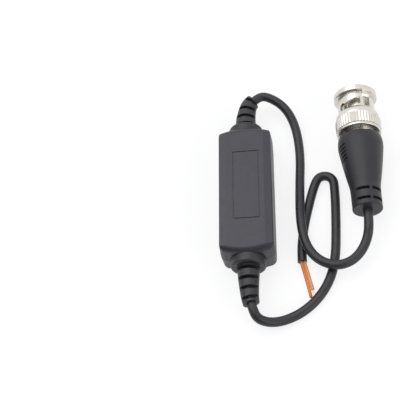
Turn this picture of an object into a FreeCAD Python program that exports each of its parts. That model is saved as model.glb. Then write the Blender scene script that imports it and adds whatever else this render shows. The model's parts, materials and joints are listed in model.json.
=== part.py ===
"""Waterproof video balun: a moulded housing with a coax lead to a bayonet plug and a short twisted-pair lead.

Millimetres, +Z up. The origin is the centre of the housing's base.
+Y points to the coax gland and +X to the plug.
"""
import FreeCAD
import Part
import math
import os

# Clearances
moving_clearance = 0.05      # radial, between pieces that turn or slide on each other
seat_clearance = 0.04        # between pieces that are pushed together and stay
cut_margin = 1.0             # how far a cut runs past what it cuts
join_overlap = 0.2           # between the stretches that make up one solid

# Housing: two half shells that meet at the parting height
housing_width = 17.4         # at the parting line
housing_length = 46.6        # over the bowed ends
housing_height = 13.2
parting_height = 6.6
side_draft = 0.27            # lean of each wall between the parting line and the top or base
end_bow = 1.6                # how far each end bulges in plan
corner_radius = 2.2
top_edge_radius = 1.1
base_edge_radius = 0.5
wall = 1.5
end_wall = 1.6               # under the gland's collar
parting_bevel = 0.12
cavity_corner_radius = 1.0
shoulder_start = 6.0         # half width of the flat part of the top
shoulder_drop = 0.42
end_rounding_length = 2.3    # the top's larger rounding at both ends, along the housing
end_rounding_drop = 1.9
lip_thickness = 0.6
lip_height = 0.8
frame_left = -3.9            # engraved frame on the top
frame_right = 4.6
frame_front = -11.6
frame_back = 13.4
frame_groove_width = 0.4
frame_groove_depth = 0.22

# Glands: one moulding at each end of the housing
collar_radius = 5.55
collar_protrusion = 2.4
collar_seat_depth = 0.75     # the collar's flat seat is sunk into the bowed end
collar_edge_radius = 0.7
neck_radius = 3.9
inner_flange_radius = 5.1
inner_flange_thickness = 1.4
sleeve_root_radius = 3.65
sleeve_tip_radius = 2.6
sleeve_length = 12.0
sleeve_straight = 2.5        # then the sleeve bends gently up to its knee, and tightly beyond
sleeve_knee = 9.0
sleeve_knee_share = 0.32     # of the whole bend, reached at the knee
sleeve_root_depth = 0.5      # the sleeve's cone starts inside the collar
sleeve_slots = 4
slot_start = 0.35            # from the collar's face to the first slot
slot_pitch = 3.3
slot_width = 1.2
slot_web_half_height = 0.9
coax_gland_bend = 50.0       # degrees, towards +X
pair_gland_bend = 12.0

# Leads
cable_radius = 1.5
dielectric_radius = 0.9
core_radius = 0.28
jacket_protrusion = 1.0      # how far each jacket reaches into the housing past its gland
wire_radius = 0.5
wire_spacing = 1.04          # between the two wires' centres
strand_radius = 0.25

# Circuit board inside the housing
board_side_gap = 0.66        # to the cavity's walls
board_length = 31.0
board_thickness = 1.0
board_height = 3.4           # underside above the base
post_radius = 1.2
post_pin_radius = 0.6
post_inset = 1.5             # from the board's edges to the post's centre
post_pin_height = 1.0        # above the board
post_pin_end_gap = 0.2       # to the bottom of its socket

# Components on the board
ferrite_outer_radius = 4.0
ferrite_inner_radius = 2.1
ferrite_height = 3.0
ferrite_y = 2.2
winding_turns = 12
winding_radius = 0.22
arrester_radius = 1.5
arrester_length = 4.4
arrester_y = -5.6
capacitor_size = (5.0, 2.4, 4.2)
capacitor_y = 9.6
capacitor_pitch = 2.5
resistor_radius = 0.85
resistor_length = 3.6
resistor_y = (-8.8, -11.2)
lead_pitch = 7.6
component_lead_radius = 0.25
component_chamfer = 0.3
axial_body_chamfer = 0.25    # share of the body's radius
resistor_waist = 0.85        # share of the body's radius
resistor_waist_length = 0.4  # share of the body's length
core_bare_length = 1.6       # of the coax, before it turns down to its pad
screen_first_run = 0.8
screen_bend = (1.4, 1.5)     # behind its pad, above the board
screen_drop = 0.7
inner_wire_first_run = 0.9
inner_wire_bend = (1.0, 0.6)  # behind the pad, below the gland's axis
inner_wire_drop = 1.3
hole_clearance = 0.1
pad_inset = 1.2              # from the board's ends to the leads' pads
leg_protrusion = 0.3         # below the board
solder_radius = 0.8
solder_height = 0.55

# Plug: stations run from the mating face towards the cable
plug_front = (36.65, 35.3)
plug_yaw = 1.5               # degrees from -Y towards +X
plug_pitch = 0.7             # degrees, cable end down
floor_gap = 0.03             # between the knurl and the surface below
knurl_radius = 7.35
knurl_teeth = 48
knurl_depth = 0.22
knurl_start = 10.6
knurl_end = 14.5
nut_length = 15.6
nut_edge = 0.3               # rounding of the nut's outer edges
flange_radius = 7.05
flange_thickness = 2.0
barrel_radius = 5.9
barrel_end = 7.5
shoulder_bulge = (1.2, 0.55)  # a point of the convex shoulder: behind the barrel, inside the knurl's radius
nut_rim_radius = 7.2
nut_bore_radius = 4.95
nut_bore_chamfer = 0.25
nut_travel = 0.8

# Bayonet slots, two of each; angles in degrees from the top, positive towards -X
entry_angle = -35.5
entry_width = 2.2
entry_window_start = 3.9
entry_window_end = 7.4
channel_radius = 5.6
hood_radius = 6.35           # raised hood over each entry channel, behind the flange
hood_half_angle = 15.0
hood_slope = 0.6
ramp_start_angle = -13.5
ramp_end_angle = 50.0
ramp_start = 5.4             # station of the slot's middle where it starts
ramp_rise = 1.8
ramp_width = 2.7
detent_radius = 1.25
detent_setback = 0.9         # the locked stud rests this far in front of the slot's end

# Plug body and contacts
contact_radius = 4.05
contact_bore_radius = 3.4
contact_front = 1.8
contact_edge = 0.2
contact_slots = 4
contact_slot_width = 0.5
contact_slot_end = 7.0
contact_slot_roll = 45.0     # degrees from the top to the first slot
gasket_front = 8.6
gasket_thickness = 1.0
gasket_seat_radius = 3.8
gasket_outer_radius = 4.78
gasket_chamfer = 0.15
shank_radius = 4.3
ring_groove_start = 10.4
ring_groove_width = 0.6
ring_groove_radius = 3.9
ring_outer_radius = 4.85
ring_gap_angle = 40.0
wave_height = 1.6
wave_thickness = 0.3
wave_count = 3
washer_outer_radius = 4.9
washer_thickness = 0.6
body_flange_radius = 5.0
body_flange_end = 17.4
body_flange_edge = 0.3
body_tail_radius = 4.3
body_tail_end = 18.6
stub_radius = 1.5
stub_end = 28.0
insulator_front = 7.1
insulator_rear = 14.2
pin_front = 2.0
pin_radius = 0.675
pin_root_radius = 1.0
pin_tip_radius = 0.12
pin_tip_length = 0.55
pin_tip_bulge = (0.2, 0.2)   # a point of the rounded tip: behind its end, inside the pin's radius
pin_rear = 13.6
pin_socket_depth = 2.5
pin_socket_end_gap = 0.5

# Crimp ferrule and boot
ferrule_radius = 2.5
ferrule_length = 12.5
crimp_start = 2.0            # from the ferrule's front
crimp_length = 6.0
crimp_flats = 6
crimp_share = 0.93           # of the ferrule's radius, left at the flats
boot_end = 43.4
boot_front_radius = 7.05
boot_front_rounding = 0.35
boot_widest_radius = 7.28
boot_widest = 19.4
boot_taper_start = 21.2      # where the front's curve runs on into the taper's
boot_taper_start_radius = 7.213
boot_taper_middle = 28.5
boot_taper_middle_radius = 6.13
boot_taper_end = 34.0
boot_taper_end_radius = 5.13
boot_waist = 37.1
boot_waist_radius = 4.8
boot_waist_bulge = 0.078     # how far the waist's curve lies inside its chord
boot_end_radius = 4.78
boot_end_rounding = 0.35
boot_roll = -19.0            # degrees, of the moulded pattern about the axis
boot_groove_starts = (37.3, 40.8)
boot_groove_widths = (1.1, 1.05)
boot_groove_floor = 3.4
boot_top_web = 0.85
boot_side_web_half_height = 2.2
grip_count = 5
grip_start = 21.1
grip_pitch = 1.23
grip_width = 0.42
grip_depth = 0.25
grip_half_angle = 27.0

# Coax lead's free route between the gland's first run and the boot's last run, chosen by eye
coax_first_run = 1.8
coax_last_run = 4.6
coax_route = [
    (5.5, 39.1, 6.55), (7.3, 38.9, 6.35), (9.8, 37.7, 5.8), (12.4, 35.7, 5.0), (14.5, 32.9, 3.9),
    (16.0, 29.3, 2.5), (16.8, 25.2, 1.6), (17.2, 20.6, 1.5), (17.3, 15.0, 1.5), (16.9, 8.4, 1.6),
    (16.7, 2.6, 2.6), (16.6, -2.8, 4.1), (16.6, -7.6, 4.7), (16.9, -12.2, 4.7), (17.7, -16.6, 4.4),
    (19.5, -20.6, 4.2), (22.4, -23.8, 4.6), (26.4, -25.6, 4.7), (30.7, -24.9, 4.5), (34.4, -21.9, 4.4),
    (37.0, -17.2, 4.9),
]

# Pair lead's free route from the gland's first run to its cut end
pair_first_run = 2.2
pair_route = [
    (2.2, -42.1, 5.5), (4.7, -42.8, 3.8), (8.0, -42.4, 2.3), (11.9, -41.1, 1.5), (16.1, -39.0, 1.5),
    (20.1, -35.6, 1.5), (23.4, -31.2, 1.5), (25.7, -25.9, 1.5), (26.9, -19.8, 1.5), (27.4, -13.2, 1.5),
    (27.7, -6.8, 1.5), (27.9, -1.2, 1.5), (27.9, 3.4, 1.5), (27.8, 6.8, 1.5), (26.5, 8.5, 1.5),
    (24.5, 9.0, 1.5), (22.6, 8.1, 1.5), (21.3, 5.0, 1.5), (20.1, 1.0, 1.5), (18.9, -3.5, 1.5),
    (17.7, -8.4, 1.5), (16.9, -13.2, 1.5), (16.4, -17.8, 1.5), (16.4, -22.0, 1.5),
]

# Free ends of the two wires beyond the jacket
wire_offset = 0.3            # of the two wires from the jacket's axis, towards +X
wire_first_run = 0.8
long_wire_route = [(16.75, -25.0, 1.0), (17.35, -27.8, 0.62), (18.02, -31.0, 0.5), (18.48, -33.6, 0.5)]
short_wire_route = [(17.81, -25.0, 1.0), (18.42, -27.8, 0.62), (19.2, -31.3, 0.5)]
bare_strand_length = 1.8

# Derived places
cavity_half_length = housing_length / 2 - collar_seat_depth - end_wall
cavity_half_width = housing_width / 2 - side_draft - wall
cavity_top = housing_height - wall
board_width = 2 * (cavity_half_width - board_side_gap)
jacket_inner_end = cavity_half_length - inner_flange_thickness - jacket_protrusion
collar_face = housing_length / 2 + collar_protrusion
board_top = board_height + board_thickness
leg_bottom = board_height - leg_protrusion
coax_pad_y = board_length / 2 - pad_inset
pair_pad_y = coax_pad_y      # from the middle, towards -Y
screen_pad_x = board_width / 2 - post_inset - post_radius - solder_radius - seat_clearance
pin_bore_radius = pin_radius + seat_clearance
corner_share = 1 - math.sqrt(0.5)  # of a rounding: how far its middle lies inside the corner, each way


def vec(x, y, z):
    return FreeCAD.Vector(x, y, z)


def line(a, b):
    return Part.LineSegment(a, b).toShape()


def arc(a, middle, b):
    return Part.Arc(a, middle, b).toShape()


def rod(radius, start, end):
    """Cylinder between two points."""
    return Part.makeCylinder(radius, (end - start).Length, start, end - start)


def tube(outer, inner, start, end):
    """Ring-shaped solid on the Z axis between two stations."""
    body = Part.makeCylinder(outer, end - start, vec(0, 0, start))
    return body.cut(Part.makeCylinder(inner, end - start, vec(0, 0, start)))


def block(low, high):
    size = high - low
    return Part.makeBox(size.x, size.y, size.z, low)


def lathe(outline):
    """Solid turned about Z. A point is (station, radius), or (station, radius, middle station, middle radius)
    where an arc arrives there through the middle point."""
    points = [vec(p[1], 0, p[0]) for p in outline]
    edges = []
    for i, point in enumerate(outline):
        before = points[i - 1]
        if len(point) == 4:
            edges.append(arc(before, vec(point[3], 0, point[2]), points[i]))
        else:
            edges.append(line(before, points[i]))
    edges = edges[1:] + edges[:1]
    return Part.Face(Part.Wire(edges)).revolve(vec(0, 0, 0), vec(0, 0, 1), 360)


def edges_at_height(shape, z):
    return [e for e in shape.Edges if all(abs(v.Point.z - z) < 1e-4 for v in e.Vertexes)]


def round_edges(shape):
    return [e for e in shape.Edges if len(e.Vertexes) == 1]


def rounded_route(points):
    """Wire of straight runs joined by tangent arcs as large as the runs allow, and the arcs' radii."""
    reach = 0.45
    edges = []
    radii = []
    start = points[0]
    for a, b, c in zip(points, points[1:], points[2:]):
        incoming = (b - a).normalize()
        outgoing = (c - b).normalize()
        turn = incoming.getAngle(outgoing)
        trim = reach * min((b - a).Length, (c - b).Length)
        radius = trim / math.tan(turn / 2)
        inward = (outgoing - incoming).normalize()
        middle = b + inward * (radius / math.cos(turn / 2) - radius)
        edges.append(line(start, b - incoming * trim))
        edges.append(arc(b - incoming * trim, middle, b + outgoing * trim))
        radii.append(radius)
        start = b + outgoing * trim
    edges.append(line(start, points[-1]))
    return Part.Wire(edges), radii


def swept_round(path, radius):
    """Round bar along a wire."""
    start = path.Edges[0]
    tangent = start.tangentAt(start.FirstParameter)
    section = Part.Wire(Part.makeCircle(radius, start.valueAt(start.FirstParameter), tangent))
    return path.makePipeShell([section], True, False)


def flexible(points, radius, name):
    """Free cord along rounded runs; prints its radii and compares its volume with section times length."""
    path, radii = rounded_route(points)
    solid = swept_round(path, radius)
    expected = math.pi * radius ** 2 * path.Length
    print(name, "length %.1f" % path.Length, "volume ratio %.4f" % (solid.Volume / expected))
    print("  bend radii", " ".join("%.1f" % r for r in radii))
    return solid


# Housing

def end_arc(inset):
    """Radius of the outline's bowed ends at an inset, and how far from the middle that arc is centred."""
    half_width = housing_width / 2 - inset
    radius = (half_width ** 2 + end_bow ** 2) / (2 * end_bow)
    return radius, housing_length / 2 - inset - radius


def housing_outline(inset, z):
    """Plan outline at a height: straight sides, bowed ends and rounded corners, drawn in by the inset."""
    half_width = housing_width / 2 - inset
    half_length = housing_length / 2 - inset
    end_radius, end_centre = end_arc(inset)
    corner_x = half_width - corner_radius
    corner_y = end_centre + math.sqrt((end_radius - corner_radius) ** 2 - corner_x ** 2)
    end_angle = math.atan2(corner_y - end_centre, corner_x)
    middle_angle = end_angle / 2

    def point(x, y, sign_x, sign_y):
        return vec(sign_x * x, sign_y * y, z)

    edges = []
    for sign_y in (1, -1):
        sx = sign_y
        side = point(half_width, corner_y, sx, sign_y)
        bend = point(corner_x + corner_radius * math.cos(middle_angle),
                     corner_y + corner_radius * math.sin(middle_angle), sx, sign_y)
        on_end = point(end_radius * math.cos(end_angle),
                       end_centre + end_radius * math.sin(end_angle), sx, sign_y)
        edges.append(line(point(half_width, corner_y, sx, -sign_y), side))
        edges.append(arc(side, bend, on_end))
        far_end = vec(-on_end.x, on_end.y, z)
        far_side = vec(-side.x, side.y, z)
        edges.append(arc(on_end, point(0, half_length, 1, sign_y), far_end))
        edges.append(arc(far_end, vec(-bend.x, bend.y, z), far_side))
    return Part.Wire(edges)


def rounded_prism(half_width, half_length, radius, low, high):
    body = block(vec(-half_width, -half_length, low), vec(half_width, half_length, high))
    upright = [e for e in body.Edges if abs(e.Vertexes[0].Point.z - e.Vertexes[1].Point.z) > 1e-4]
    return body.makeFillet(radius, upright)


def post_places():
    x = board_width / 2 - post_inset
    y = board_length / 2 - post_inset
    return [(x, y), (-x, y), (-x, -y), (x, -y)]


def gland_holes(shell):
    """Holes for the glands' necks and flat seats for their collars, at both ends."""
    for sign in (1, -1):
        inside = vec(0, sign * (cavity_half_length - cut_margin), parting_height)
        seat = vec(0, sign * (housing_length / 2 - collar_seat_depth), parting_height)
        outside = vec(0, sign * (housing_length / 2 + cut_margin), parting_height)
        shell = shell.cut(rod(neck_radius + seat_clearance, inside, outside))
        shell = shell.cut(rod(collar_radius + 3 * seat_clearance, seat, outside))
    return shell


def cavity(low, high, growth=0.0):
    """The housing's inner space between two heights, grown evenly if asked."""
    return rounded_prism(cavity_half_width + growth, cavity_half_length + growth,
                         cavity_corner_radius + growth, low, high)


def lip(thickness, low, high):
    """Band round the cavity's edge."""
    return cavity(low, high, thickness).cut(cavity(low, high))


def engraved_frame():
    """Cutter for the rectangular line on the top."""
    low = housing_height - frame_groove_depth
    high = housing_height + cut_margin
    outer = block(vec(frame_left, frame_front, low), vec(frame_right, frame_back, high))
    w = frame_groove_width
    inner = block(vec(frame_left + w, frame_front + w, low), vec(frame_right - w, frame_back - w, high))
    return outer.cut(inner)


def shoulder_cutter(sign):
    """Wedge that slopes the top down from its flat middle to one long side."""
    edge = housing_width / 2 - side_draft
    slope = shoulder_drop / (edge - shoulder_start)
    outside = edge + cut_margin
    low = housing_height - slope * (outside - shoulder_start)
    y = -housing_length
    a = vec(sign * shoulder_start, y, housing_height)
    b = vec(sign * outside, y, low)
    c = vec(sign * outside, y, housing_height + cut_margin)
    d = vec(sign * shoulder_start, y, housing_height + cut_margin)
    return Part.Face(Part.makePolygon([a, b, c, d, a])).extrude(vec(0, 2 * housing_length, 0))


def end_trimmer(sign):
    """Cutter that rounds the top of one bowed end: what lies there outside a disc with a rounded rim."""
    radius, centre = end_arc(side_draft)
    rim = radius + side_draft * end_rounding_drop / (housing_height - parting_height)
    flat = rim - end_rounding_length
    rounding = (end_rounding_length ** 2 + end_rounding_drop ** 2) / (2 * end_rounding_drop)
    half_turn = math.asin(end_rounding_length / rounding) / 2
    middle = housing_height - rounding * (1 - math.cos(half_turn))
    base = parting_height - cut_margin
    disc = lathe([
        (base, 0), (base, rim + cut_margin), (housing_height - end_rounding_drop, rim),
        (housing_height, flat, middle, flat + rounding * math.sin(half_turn)), (housing_height, 0),
    ])
    disc.translate(vec(0, sign * centre, 0))
    across = housing_width / 2 + cut_margin
    near, far = sorted((sign * max(centre, 0), sign * (housing_length / 2 + cut_margin)))
    return block(vec(-across, near, base), vec(across, far, housing_height + cut_margin)).cut(disc)


def housing_upper():
    wires = [housing_outline(parting_bevel, parting_height),
             housing_outline(0, parting_height + parting_bevel),
             housing_outline(side_draft, housing_height)]
    shell = Part.makeLoft(wires, True, True)
    shell = shell.makeFillet(top_edge_radius, edges_at_height(shell, housing_height))
    shell = shell.cut(shoulder_cutter(1)).cut(shoulder_cutter(-1))
    shell = shell.cut(end_trimmer(1)).cut(end_trimmer(-1))
    shell = shell.cut(cavity(parting_height - cut_margin, cavity_top))
    rebate = lip(lip_thickness + seat_clearance, parting_height, parting_height + lip_height + seat_clearance)
    shell = shell.cut(rebate)
    shell = gland_holes(shell).cut(engraved_frame())
    for x, y in post_places():
        bottom = board_top + seat_clearance
        post = rod(post_radius, vec(x, y, bottom), vec(x, y, cavity_top))
        socket = rod(post_pin_radius + seat_clearance, vec(x, y, bottom), vec(x, y, bottom + post_pin_height))
        shell = shell.fuse(post.cut(socket))
    return shell.removeSplitter()


def housing_lower():
    wires = [housing_outline(side_draft, 0),
             housing_outline(0, parting_height - parting_bevel),
             housing_outline(parting_bevel, parting_height)]
    shell = Part.makeLoft(wires, True, True)
    shell = shell.makeFillet(base_edge_radius, edges_at_height(shell, 0))
    shell = shell.cut(cavity(wall, parting_height + cut_margin))
    shell = shell.fuse(lip(lip_thickness, parting_height - lip_height, parting_height + lip_height))
    shell = gland_holes(shell)
    pin_top = board_top + post_pin_height - post_pin_end_gap
    for x, y in post_places():
        shell = shell.fuse(rod(post_radius, vec(x, y, wall), vec(x, y, board_height)))
        shell = shell.fuse(rod(post_pin_radius, vec(x, y, wall), vec(x, y, pin_top)))
    return shell.removeSplitter()


# Glands

def at_pair_end(shape):
    """A gland's piece is made at the coax end and mirrored for the pair's."""
    return shape.mirror(vec(0, 0, 0), vec(0, 1, 0))


def sleeve_bends(bend):
    """The sleeve's bent stretches: where each starts and ends along it, and its heading there in radians."""
    knee_turn = math.radians(bend) * sleeve_knee_share
    return [(sleeve_straight, sleeve_knee, 0.0, knee_turn),
            (sleeve_knee, sleeve_length, knee_turn, math.radians(bend))]


def sleeve_station(bend, distance):
    """Centre and direction of a gland's sleeve at a distance from the collar's face."""
    place = vec(0, collar_face + min(distance, sleeve_straight), parting_height)
    heading = 0.0
    for start, end, turn_in, turn_out in sleeve_bends(bend):
        if distance > start:
            radius = (end - start) / (turn_out - turn_in)
            reached = distance if end == sleeve_length else min(distance, end)
            heading = turn_in + (reached - start) / radius
            across = math.cos(turn_in) - math.cos(heading)
            along = math.sin(heading) - math.sin(turn_in)
            place += vec(across, along, 0) * radius
    return place, vec(math.sin(heading), math.cos(heading), 0)


def sleeve_spine(bend, start, reach):
    """Centre line of a gland's sleeve, from a place on the housing's axis to a distance along the sleeve."""
    edges = []
    before = vec(0, start, parting_height)
    for begin, end, _, _ in sleeve_bends(bend):
        last = reach if end == sleeve_length else end
        knee, _ = sleeve_station(bend, begin)
        middle, _ = sleeve_station(bend, (begin + last) / 2)
        far, _ = sleeve_station(bend, last)
        if not edges:
            edges.append(line(before, knee))
        edges.append(arc(knee, middle, far))
    return Part.Wire(edges)


def sleeve_slot(bend, distance):
    """Pair of slots across the sleeve, above and below the webs at its sides."""
    centre, direction = sleeve_station(bend, distance)
    reach = sleeve_root_radius + cut_margin
    upper = block(vec(-reach, -slot_width / 2, slot_web_half_height), vec(reach, slot_width / 2, reach))
    slots = upper.fuse(upper.mirror(vec(0, 0, 0), vec(0, 0, 1)))
    heading = math.degrees(math.atan2(-direction.x, direction.y))
    slots.Placement = FreeCAD.Placement(centre, FreeCAD.Rotation(vec(0, 0, 1), heading))
    return slots


def gland(bend):
    """Strain relief: inner flange, neck, collar and a slotted tapered sleeve, bored for the cable."""
    flange_in = cavity_half_length - inner_flange_thickness
    seat = housing_length / 2 - collar_seat_depth

    def on_axis(y):
        return vec(0, y, parting_height)

    body = rod(inner_flange_radius, on_axis(flange_in), on_axis(cavity_half_length))
    body = body.fuse(rod(neck_radius, on_axis(flange_in), on_axis((seat + collar_face) / 2)))
    collar = rod(collar_radius, on_axis(seat), on_axis(collar_face))
    rim = [e for e in round_edges(collar) if abs(e.Vertexes[0].Point.y - collar_face) < 1e-4]
    body = body.fuse(collar.makeFillet(collar_edge_radius, rim))
    tip, tip_direction = sleeve_station(bend, sleeve_length)
    sleeve_start = collar_face - sleeve_root_depth
    root = Part.Wire(Part.makeCircle(sleeve_root_radius, on_axis(sleeve_start), vec(0, 1, 0)))
    end = Part.Wire(Part.makeCircle(sleeve_tip_radius, tip, tip_direction))
    spine = sleeve_spine(bend, sleeve_start, sleeve_length)
    sleeve = spine.makePipeShell([root, end], True, False)
    for i in range(sleeve_slots):
        sleeve = sleeve.cut(sleeve_slot(bend, slot_start + slot_width / 2 + i * slot_pitch))
    body = body.fuse(sleeve)
    bore = sleeve_spine(bend, flange_in - cut_margin, sleeve_length + cut_margin / 2)
    return body.cut(swept_round(bore, cable_radius + seat_clearance)).removeSplitter()


def lead_tail(bend):
    """The lead's jacket inside its gland."""
    return swept_round(sleeve_spine(bend, jacket_inner_end, sleeve_length), cable_radius)


# Board and components

def board_legs():
    """Every leg that stands in the board as (x, y, radius): the leads' ends, then the components' legs."""
    half_pitch = lead_pitch / 2
    legs = [(0, coax_pad_y, core_radius), (screen_pad_x, coax_pad_y, core_radius)]
    legs += [(x, -pair_pad_y, component_lead_radius) for x in (wire_spacing, -wire_spacing)]
    for y in (arrester_y,) + resistor_y:
        legs += [(x, y, component_lead_radius) for x in (-half_pitch, half_pitch)]
    legs += [(x, capacitor_y, component_lead_radius) for x in (-capacitor_pitch / 2, capacitor_pitch / 2)]
    return legs


def circuit_board():
    board = block(vec(-board_width / 2, -board_length / 2, board_height),
                  vec(board_width / 2, board_length / 2, board_top))
    holes = [(x, y, post_pin_radius + moving_clearance) for x, y in post_places()]
    holes += [(x, y, radius + hole_clearance) for x, y, radius in board_legs()]
    low = board_height - cut_margin
    high = board_top + cut_margin
    for x, y, radius in holes:
        board = board.cut(rod(radius, vec(x, y, low), vec(x, y, high)))
    return board


def solder_joints():
    """A cone of solder under the board at each plated hole, round the leg's end."""
    joints = []
    for x, y, radius in board_legs():
        low = vec(x, y, board_height - solder_height)
        cone = Part.makeCone(solder_radius / 2, solder_radius, solder_height, low)
        joints.append(cone.cut(rod(radius, vec(x, y, leg_bottom), vec(x, y, board_top))))
    return Part.makeCompound(joints)


def ferrite_core():
    core = tube(ferrite_outer_radius, ferrite_inner_radius, 0, ferrite_height)
    core = core.makeChamfer(component_chamfer, round_edges(core))
    core.translate(vec(0, ferrite_y, board_top + 2 * winding_radius + 2 * seat_clearance))
    return core


def core_winding():
    """Separate turns of enamelled wire round the ferrite ring."""
    gap = seat_clearance + winding_radius
    low = board_top + winding_radius + seat_clearance
    high = low + 2 * gap + ferrite_height
    inner = ferrite_inner_radius - gap
    outer = ferrite_outer_radius + gap
    middle = (inner + outer) / 2
    corners = [vec(middle, 0, low), vec(outer, 0, low), vec(outer, 0, high), vec(inner, 0, high),
               vec(inner, 0, low)]
    loop = Part.makePolygon(corners + corners[:1])
    section = Part.Wire(Part.makeCircle(winding_radius, corners[0], vec(1, 0, 0)))
    mitred = 1
    turn = loop.makePipeShell([section], True, False, mitred)
    turns = []
    for i in range(winding_turns):
        copy = turn.copy()
        copy.rotate(vec(0, 0, 0), vec(0, 0, 1), 360.0 * (i + 0.5) / winding_turns)
        copy.translate(vec(0, ferrite_y, 0))
        turns.append(copy)
    return Part.makeCompound(turns)


def axial_component(radius, length, y, waist_share):
    """Round body across the board, thinner in the middle by the share given, with a bent leg at each end."""
    z = board_top + radius + seat_clearance
    half = lead_pitch / 2
    body = rod(radius, vec(-length / 2, y, z), vec(length / 2, y, z))
    body = body.makeChamfer(radius * axial_body_chamfer, round_edges(body))
    if waist_share < 1:
        a = vec(-length * resistor_waist_length / 2, y, z)
        b = vec(length * resistor_waist_length / 2, y, z)
        body = body.cut(rod(radius + cut_margin, a, b).cut(rod(radius * waist_share, a, b)))
    legs, _ = rounded_route([vec(-half, y, leg_bottom), vec(-half, y, z),
                             vec(half, y, z), vec(half, y, leg_bottom)])
    return body.fuse(swept_round(legs, component_lead_radius)).removeSplitter()


def surge_arrester():
    return axial_component(arrester_radius, arrester_length, arrester_y, 1)


def resistors():
    pieces = [axial_component(resistor_radius, resistor_length, y, resistor_waist) for y in resistor_y]
    return Part.makeCompound(pieces)


def film_capacitor():
    """Box-shaped capacitor on two straight legs."""
    x, y, z = capacitor_size
    low = board_top + seat_clearance
    body = block(vec(-x / 2, capacitor_y - y / 2, low), vec(x / 2, capacitor_y + y / 2, low + z))
    body = body.makeChamfer(component_chamfer, body.Edges)
    for leg_x in (-capacitor_pitch / 2, capacitor_pitch / 2):
        body = body.fuse(rod(component_lead_radius, vec(leg_x, capacitor_y, leg_bottom),
                             vec(leg_x, capacitor_y, low + join_overlap)))
    return body


def coax_tail():
    """Coax inside the gland and housing: jacket, then the stripped dielectric and core down to the board."""
    dielectric_end = coax_pad_y + core_bare_length
    tail = lead_tail(coax_gland_bend)
    tail = tail.fuse(rod(dielectric_radius, vec(0, jacket_inner_end + join_overlap, parting_height),
                         vec(0, dielectric_end, parting_height)))
    core, _ = rounded_route([vec(0, dielectric_end + join_overlap, parting_height),
                             vec(0, coax_pad_y, parting_height), vec(0, coax_pad_y, leg_bottom)])
    return tail.fuse(swept_round(core, core_radius)).removeSplitter()


def coax_screen():
    """The coax's twisted screen, from the jacket's end to its own pad."""
    beside = dielectric_radius + core_radius + seat_clearance
    back, rise = screen_bend
    route, _ = rounded_route([vec(beside, jacket_inner_end, parting_height),
                              vec(beside, jacket_inner_end - screen_first_run, parting_height),
                              vec(screen_pad_x, coax_pad_y + back, board_top + rise),
                              vec(screen_pad_x, coax_pad_y, board_top + screen_drop),
                              vec(screen_pad_x, coax_pad_y, leg_bottom)])
    return swept_round(route, core_radius)


def pair_tail():
    return at_pair_end(lead_tail(pair_gland_bend))


def pair_inner_wires():
    """The two wires from the pair's jacket down to the board, each stripped where it goes through."""
    wires = []
    back, drop = inner_wire_bend
    for side in (1, -1):
        x = side * wire_spacing
        start = vec(x / 2, jacket_inner_end, parting_height)
        knee = vec(x, pair_pad_y, board_top + inner_wire_drop)
        route, _ = rounded_route([start, start - vec(0, inner_wire_first_run, 0),
                                  vec(x, pair_pad_y + back, parting_height - drop), knee,
                                  vec(x, pair_pad_y, board_top + seat_clearance)])
        wire = swept_round(route, wire_radius)
        leg = rod(component_lead_radius, vec(x, pair_pad_y, board_top + seat_clearance + join_overlap),
                  vec(x, pair_pad_y, leg_bottom))
        wires.append(at_pair_end(wire.fuse(leg).removeSplitter()))
    return Part.makeCompound(wires)


# Plug, in its own frame: Z is the station along the axis, X is up

def plug_placement():
    yaw = math.radians(plug_yaw)
    pitch = math.radians(plug_pitch)
    axis = vec(math.sin(yaw) * math.cos(pitch), -math.cos(yaw) * math.cos(pitch), -math.sin(pitch))
    up = (vec(0, 0, 1) - axis * axis.z).normalize()
    height = floor_gap + knurl_radius * math.cos(pitch) + knurl_end * math.sin(pitch)
    origin = vec(plug_front[0], plug_front[1], height)
    return FreeCAD.Placement(origin, FreeCAD.Rotation(up, axis.cross(up), axis, "ZXY"))


def on_plug(shape):
    shape.Placement = plug_placement().multiply(shape.Placement)
    return shape


def plug_point(station):
    return plug_placement().multVec(vec(0, 0, station))


def sector_block(angle, width, inner, outer, start, end):
    """Radial block at an angle about the plug's axis."""
    bar = block(vec(inner, -width / 2, start), vec(outer, width / 2, end))
    return about_axis(bar, angle)


def about_axis(shape, angle):
    """The shape turned about the plug's axis."""
    shape.rotate(vec(0, 0, 0), vec(0, 0, 1), angle)
    return shape


def wedge(radius, start, end, first_angle, last_angle):
    """Sector of a disc about the plug's axis, between two stations and two angles."""
    sector = Part.makeCylinder(radius, end - start, vec(0, 0, start), vec(0, 0, 1), last_angle - first_angle)
    return about_axis(sector, first_angle)


def knurl_band():
    """Straight-knurled band as a toothed prism."""
    points = []
    for i in range(knurl_teeth):
        for radius, step in ((knurl_radius, 0.25), (knurl_radius - knurl_depth, 0.75)):
            angle = 2 * math.pi * (i + step) / knurl_teeth
            points.append(vec(radius * math.cos(angle), radius * math.sin(angle), knurl_start))
    band = Part.Face(Part.makePolygon(points + points[:1])).extrude(vec(0, 0, knurl_end - knurl_start))
    return band.cut(Part.makeCylinder(washer_chamber_radius(), nut_length))


def washer_chamber_radius():
    return washer_outer_radius + 4 * moving_clearance


def washer_start():
    return ring_groove_start + ring_groove_width + wave_height


def nut_lip_start():
    return washer_start() + washer_thickness + seat_clearance / 2


def ramp_edges():
    """Stations of the slot's two edges where it starts."""
    return ramp_start - ramp_width / 2, ramp_start + ramp_width / 2


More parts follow.
